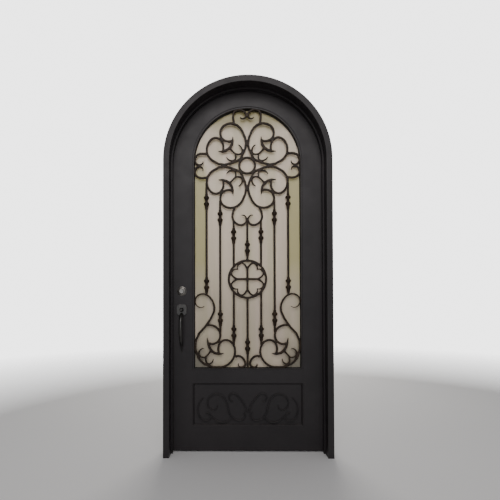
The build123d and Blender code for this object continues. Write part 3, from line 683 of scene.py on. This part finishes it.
def forged(title, names, grain, rounds, dents):
    """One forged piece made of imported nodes. The grain is the size of the cubes that it is remeshed in."""
    copies = [merged_copy(name, name + "_copy") for name in names]
    bpy.ops.object.select_all(action="DESELECT")
    for copy in copies:
        copy.select_set(True)
    bpy.context.view_layer.objects.active = copies[0]
    if len(copies) > 1:
        bpy.ops.object.join()
    piece = copies[0]
    piece.name = title
    apply_modifier(piece, "REMESH", mode="VOXEL", voxel_size=grain)
    apply_modifier(piece, "SMOOTH", factor=0.5, iterations=rounds)
    apply_modifier(
        piece, "DISPLACE", texture=hammer_cloud, texture_coords="LOCAL", strength=dents, mid_level=0.5
    )
    bpy.ops.object.shade_smooth()
    stand_for(piece, *names)
    return piece


# %% The grille in three pieces, and the scrolls on the kick panel
forged("forged_rosette", ("rosette", "top_heart", "bottom_heart", "side_hearts"), 0.0026, 4, 0.0012)
forged("forged_foot", ("left_foot_scrolls", "right_foot_scrolls", "centre_volutes"), 0.0026, 4, 0.0012)
forged(
    "forged_bars", ("centre_bar", "inner_bars", "second_bars", "outer_bars", "medallion"), 0.0026, 3, 0.0008
)
kick_scrolls = forged("forged_kick_scrolls", ("kick_scrolls",), 0.002, 3, 0.0008)
# The kick scrolls take the cooler copy of the iron, without the painted glow of the glass.
kick_scrolls.data.materials[0] = finishes["kick_iron"]

# %% [markdown]
# ## Turned pieces
# Collars, hinge caps, the deadbolt's rose, its key cylinder and the screw heads are round. On a lathe each
# would be cut from a profile. Here a circle is raised ring by ring along its profile, which gives the same
# form, and what repeats is turned once and copied.


# %% Turning tools
def turned(title, profile, sides, ring=False):
    """A piece turned on the Z axis from (height, radius) pairs. A ring has a hole and ends at its start."""
    bpy.ops.object.select_all(action="DESELECT")
    foot, radius = profile[0]
    fill = "NOTHING" if ring else "NGON"
    bpy.ops.mesh.primitive_circle_add(vertices=sides, radius=radius, fill_type=fill, location=(0, 0, foot))
    piece = bpy.context.active_object
    piece.name = title
    bpy.ops.object.transform_apply(location=True)
    bpy.ops.object.mode_set(mode="EDIT")
    bpy.ops.mesh.select_all(action="SELECT")
    for (low, narrow), (high, wide) in zip(profile, profile[1:]):
        bpy.ops.mesh.extrude_region_move(TRANSFORM_OT_translate={"value": (0, 0, high - low)})
        bpy.ops.transform.resize(value=(wide / narrow, wide / narrow, 1), center_override=(0, 0, 0))
    bpy.ops.mesh.select_all(action="SELECT")
    bpy.ops.mesh.remove_doubles(threshold=0.000001)
    bpy.ops.mesh.normals_make_consistent(inside=False)
    bpy.ops.object.mode_set(mode="OBJECT")
    return piece


def settle(piece, point, facing):
    """Turns a piece from +Z to its facing, sets it at a point and puts its place in its mesh."""
    turn = Vector((0, 0, 1)).rotation_difference(Vector(facing)).to_matrix().to_4x4()
    only(piece)
    piece.matrix_world = Matrix.Translation(Vector(point)) @ turn
    bpy.ops.object.transform_apply(location=True, rotation=True, scale=True)
    return piece


def joined_copies(title, model, places):
    """One piece made of copies of a model, each at its (point, facing). The model is used up."""
    copies = []
    for point, facing in places:
        copy = bpy.data.objects.new(title, model.data.copy())
        bpy.context.scene.collection.objects.link(copy)
        copies.append(settle(copy, point, facing))
    bpy.data.objects.remove(model)
    bpy.ops.object.select_all(action="DESELECT")
    for copy in copies:
        copy.select_set(True)
    bpy.context.view_layer.objects.active = copies[0]
    bpy.ops.object.join()
    piece = copies[0]
    piece.name = title
    bpy.ops.object.shade_smooth_by_angle(angle=math.radians(35))
    return piece


def cut_slot(piece, length, width, depth, top):
    """Cuts a slot across the top of a turned piece."""
    bpy.ops.object.select_all(action="DESELECT")
    bpy.ops.mesh.primitive_cube_add(size=1, location=(0, 0, top))
    cutter = bpy.context.active_object
    cutter.scale = (length, width, 2 * depth)
    bpy.ops.object.transform_apply(location=True, scale=True)
    apply_modifier(piece, "BOOLEAN", operation="DIFFERENCE", object=cutter)
    bpy.data.objects.remove(cutter)


def loose_boxes(name):
    """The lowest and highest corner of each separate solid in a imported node."""
    piece = merged_copy(name, name + "_parts")
    only(piece)
    bpy.ops.mesh.separate(type="LOOSE")
    boxes = []
    for part in list(bpy.context.selected_objects):
        points = [vertex.co.copy() for vertex in part.data.vertices]
        low = Vector(min(point[i] for point in points) for i in range(3))
        high = Vector(max(point[i] for point in points) for i in range(3))
        boxes.append((low, high))
        bpy.data.objects.remove(part)
    return sorted(boxes, key=lambda box: (round(box[0].x, 4), round(box[0].z, 4)))


# %% Cast collars
collar_boxes = loose_boxes("bar_collars")
low, high = collar_boxes[0]
collar_height = high.z - low.z
collar_radius = (high.y - low.y) / 2
collar_profile = [
    (0, 0.5), (0.1, 0.58), (0.2, 0.64), (0.25, 0.72), (0.285, 0.9), (0.32, 1), (0.39, 1), (0.425, 0.9),
    (0.455, 0.66), (0.5, 0.53), (0.61, 0.53), (0.655, 0.66), (0.685, 0.9), (0.72, 1), (0.79, 1), (0.825, 0.9),
    (0.85, 0.66), (0.89, 0.54), (1, 0.5),
]
collar = turned(
    "collar", [(share * collar_height, radius * collar_radius) for share, radius in collar_profile], 20
)
places = [(((low.x + high.x) / 2, (low.y + high.y) / 2, low.z), (0, 0, 1)) for low, high in collar_boxes]
collars = joined_copies("cast_collars", collar, places)
stand_for(collars, "bar_collars")
print("collars", len(places), "of height", round(collar_height, 4))

# %% [markdown]
# ## The lock and its screws
# The deadbolt has a domed rose and a key cylinder with its keyway. Screws with crossed slots hold the plates
# and the turn buttons, and anchors with a round recess hold the jambs.

# %% Deadbolt rose and key cylinder
low, high = (Vector(corner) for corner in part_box("deadbolt_rose"))
rose_radius = (high.x - low.x) / 2
rose_depth = high.y - low.y
lock_x = (low.x + high.x) / 2
leaf_face = high.y
deadbolt_height = (low.z + high.z) / 2
street = (0, -1, 0)
low, high = (Vector(corner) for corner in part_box("key_cylinder"))
cylinder_radius = (high.x - low.x) / 2
cylinder_depth = high.y - low.y

rose = turned("domed_rose", [
    (0, rose_radius), (0.2 * rose_depth, rose_radius), (0.32 * rose_depth, 0.97 * rose_radius),
    (0.38 * rose_depth, 0.9 * rose_radius), (0.55 * rose_depth, 0.87 * rose_radius),
    (0.8 * rose_depth, 0.78 * rose_radius), (0.95 * rose_depth, 0.66 * rose_radius),
    (rose_depth, 0.57 * rose_radius), (0.9 * rose_depth, 1.02 * cylinder_radius),
    (0, 1.02 * cylinder_radius), (0, rose_radius),
], 48, ring=True)
settle(rose, (lock_x, leaf_face, deadbolt_height), street)
bpy.ops.object.shade_smooth_by_angle(angle=math.radians(30))
stand_for(rose, "deadbolt_rose")
rose.data.materials[0] = finishes["rose_bronze"]

key_plug_radius = 0.48 * cylinder_radius
groove = 0.0006
keyway_width = 0.0016
keyway_depth = 0.003
cylinder = turned("slotted_cylinder", [
    (0, cylinder_radius), (0.94 * cylinder_depth, cylinder_radius),
    (0.985 * cylinder_depth, 0.93 * cylinder_radius),
    (0.985 * cylinder_depth, key_plug_radius + groove), (0.96 * cylinder_depth, key_plug_radius + groove),
    (0.96 * cylinder_depth, key_plug_radius), (cylinder_depth, 0.95 * key_plug_radius),
    (cylinder_depth, 0.1 * key_plug_radius),
], 40)
cut_slot(cylinder, keyway_width, 1.3 * key_plug_radius, keyway_depth, cylinder_depth)
settle(cylinder, (lock_x, leaf_face, deadbolt_height), street)
bpy.ops.object.shade_smooth_by_angle(angle=math.radians(30))
stand_for(cylinder, "key_cylinder")

# %% Screws
screw_radius = 0.0042
screw_top = 0.0006
screw_slot_depth = 0.0005
screw_head = turned("screw", [
    (-0.001, screw_radius), (0.0001, screw_radius), (0.0004, 0.85 * screw_radius),
    (screw_top, 0.5 * screw_radius), (0.00065, 0.1 * screw_radius),
], 20)
for length, width in ((1.3, 0.22), (0.22, 1.3)):
    cut_slot(screw_head, length * screw_radius, width * screw_radius, screw_slot_depth, screw_top)
spare_screw = bpy.data.objects.new("spare_screw", screw_head.data.copy())

handle_height = sum(corner[2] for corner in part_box("escutcheon")) / 2
strike_low, strike_high = (Vector(corner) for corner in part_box("strike_plates"))
face_low = Vector(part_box("edge_faceplates")[0])
plate_y = (strike_low.y + strike_high.y) / 2
strike_screw = 0.027
face_screw = 0.0215
frame_places = []
leaf_places = []
for height in (handle_height, deadbolt_height):
    for side in (-1, 1):
        frame_places.append(((strike_high.x, plate_y, height + side * strike_screw), (1, 0, 0)))
        leaf_places.append(((face_low.x, plate_y, height + side * face_screw), (-1, 0, 0)))
for low, high in loose_boxes("sash_latches"):
    leaf_places.append((((low.x + high.x) / 2, high.y, (low.z + high.z) / 2), (0, 1, 0)))
frame_screws = joined_copies("strike_screws", screw_head, frame_places)
finish_piece(frame_screws, "frame", "plate_metal")
leaf_screws = joined_copies("leaf_screws", spare_screw, leaf_places)
finish_piece(leaf_screws, "leaf", "plate_metal")

# %% Anchor bolts in the jambs
anchor_radius = 0.0075
jamb_half_thickness = 0.015
anchor_head = turned("anchor", [
    (-0.002, 0.6 * anchor_radius), (0, anchor_radius), (0.0004, anchor_radius), (0.0011, 0.8 * anchor_radius),
    (0.0012, 0.45 * anchor_radius), (-0.0012, 0.42 * anchor_radius), (-0.0013, 0.05 * anchor_radius),
], 24)
anchor_places = []
for mount in frame["record"]["mounts"]:
    if mount["kind"] == "bolt_pattern":
        out = -mount["axis"][0]
        x, y, z = mount["pos_m"]
        half_pitch = mount["dims"]["spacing_y_mm"] / 2000
        face_x = x + out * jamb_half_thickness
        anchor_places += [((face_x, y, z + side * half_pitch), (out, 0, 0)) for side in (-1, 1)]
anchors = joined_copies("anchor_heads", anchor_head, anchor_places)
finish_piece(anchors, "frame", "plate_metal")

# %% [markdown]
# ## Hinges
# Each barrel ends in a turned cap, and the small hinges of the sash have knuckle lines. Caps hide the ends of
# the pins.

# %% Hinge caps and sash hinges
hinge_x, hinge_y = frame["record"]["behaviour"]["joints"][0]["pos_m"][:2]
upper_boxes = loose_boxes("leaf_knuckles")
barrel_radius = upper_boxes[0][1].y - hinge_y
cap = turned("cap", [
    (0, 0.96 * barrel_radius), (0.0008, 0.96 * barrel_radius), (0.0016, 0.7 * barrel_radius),
    (0.0026, 0.62 * barrel_radius), (0.0036, 0.72 * barrel_radius), (0.0056, 0.78 * barrel_radius),
    (0.0078, 0.68 * barrel_radius), (0.0094, 0.45 * barrel_radius), (0.0100, 0.1 * barrel_radius),
], 28)
spare_cap = bpy.data.objects.new("spare_cap", cap.data.copy())
upper_places = [((hinge_x, hinge_y, high.z), (0, 0, 1)) for low, high in upper_boxes]
lower_places = [((hinge_x, hinge_y, low.z), (0, 0, -1)) for low, high in loose_boxes("jamb_knuckles")]
finish_piece(joined_copies("upper_hinge_caps", cap, upper_places), "leaf", "painted_steel")
finish_piece(joined_copies("lower_hinge_caps", spare_cap, lower_places), "frame", "painted_steel")

sash_hinge_boxes = loose_boxes("sash_hinges")
low, high = sash_hinge_boxes[0]
pin_length = high.z - low.z
pin_radius = (high.x - low.x) / 2
knuckle_profile = [(0, 0.4), (0.03, 0.75), (0.06, 0.8), (0.09, 0.7), (0.1, 1)]
for line in (0.366, 0.633):
    knuckle_profile += [(line - 0.008, 1), (line, 0.86), (line + 0.008, 1)]
knuckle_profile += [(0.9, 1), (0.91, 0.7), (0.94, 0.8), (0.97, 0.75), (1, 0.4)]
knuckle = turned("knuckle", [(share * pin_length, size * pin_radius) for share, size in knuckle_profile], 24)
places = [(((low.x + high.x) / 2, (low.y + high.y) / 2, low.z), (0, 0, 1)) for low, high in sash_hinge_boxes]
stand_for(joined_copies("sash_knuckles", knuckle, places), "sash_hinges")

# %% [markdown]
# ## Gaskets
# A black rubber bead seals the pane on both sides. It follows the opening up one side, over the arch, down
# the other side and along the sill. A small circle is extruded up, spun half a turn and extruded down.


# %% Gasket beads
def arch_bead(title, half, foot, spring, depth, radius, sides):
    """A round bead along the edge of a round-headed opening."""
    bpy.ops.object.select_all(action="DESELECT")
    bpy.ops.mesh.primitive_circle_add(
        vertices=sides, radius=radius, fill_type="NOTHING", location=(door_centre.x + half, depth, foot)
    )
    piece = bpy.context.active_object
    piece.name = title
    bpy.ops.object.transform_apply(location=True)
    bpy.ops.object.mode_set(mode="EDIT")
    bpy.ops.mesh.select_all(action="SELECT")
    bpy.ops.mesh.extrude_region_move(TRANSFORM_OT_translate={"value": (0, 0, spring - foot)})
    bpy.ops.mesh.spin(steps=48, angle=math.pi, center=(door_centre.x, depth, spring), axis=(0, 1, 0))
    bpy.ops.mesh.extrude_region_move(TRANSFORM_OT_translate={"value": (0, 0, foot - spring)})
    bpy.ops.mesh.primitive_circle_add(
        vertices=sides, radius=radius, fill_type="NOTHING", location=(door_centre.x - half, depth, foot),
        rotation=(0, math.pi / 2, 0),
    )
    bpy.ops.mesh.extrude_region_move(TRANSFORM_OT_translate={"value": (2 * half, 0, 0)})
    bpy.ops.mesh.select_all(action="SELECT")
    bpy.ops.mesh.remove_doubles(threshold=0.000001)
    bpy.ops.mesh.fill_holes(sides=0)
    bpy.ops.mesh.select_all(action="SELECT")
    bpy.ops.mesh.normals_make_consistent(inside=False)
    bpy.ops.object.mode_set(mode="OBJECT")
    bpy.ops.object.shade_smooth_by_angle(angle=math.radians(50))
    return piece


bead_radius = 0.003
bead_sides = 10
bead_inset = 0.6 * bead_radius
bead_rise = 0.4 * bead_radius
surround_low, surround_high = (Vector(corner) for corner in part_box("grille_surround"))
surround_width = 0.010
bead_half = (surround_high.x - surround_low.x) / 2 - surround_width - bead_inset
bead_foot = surround_low.z + surround_width + bead_inset
bead_spring = surround_high.z - (surround_high.x - surround_low.x) / 2
for title, depth in (
    ("street_gasket", glass_low.y - bead_rise), ("room_gasket", glass_high.y + bead_rise)
):
    gasket = arch_bead(title, bead_half, bead_foot, bead_spring, depth, bead_radius, bead_sides)
    finish_piece(gasket, "leaf", "seal")
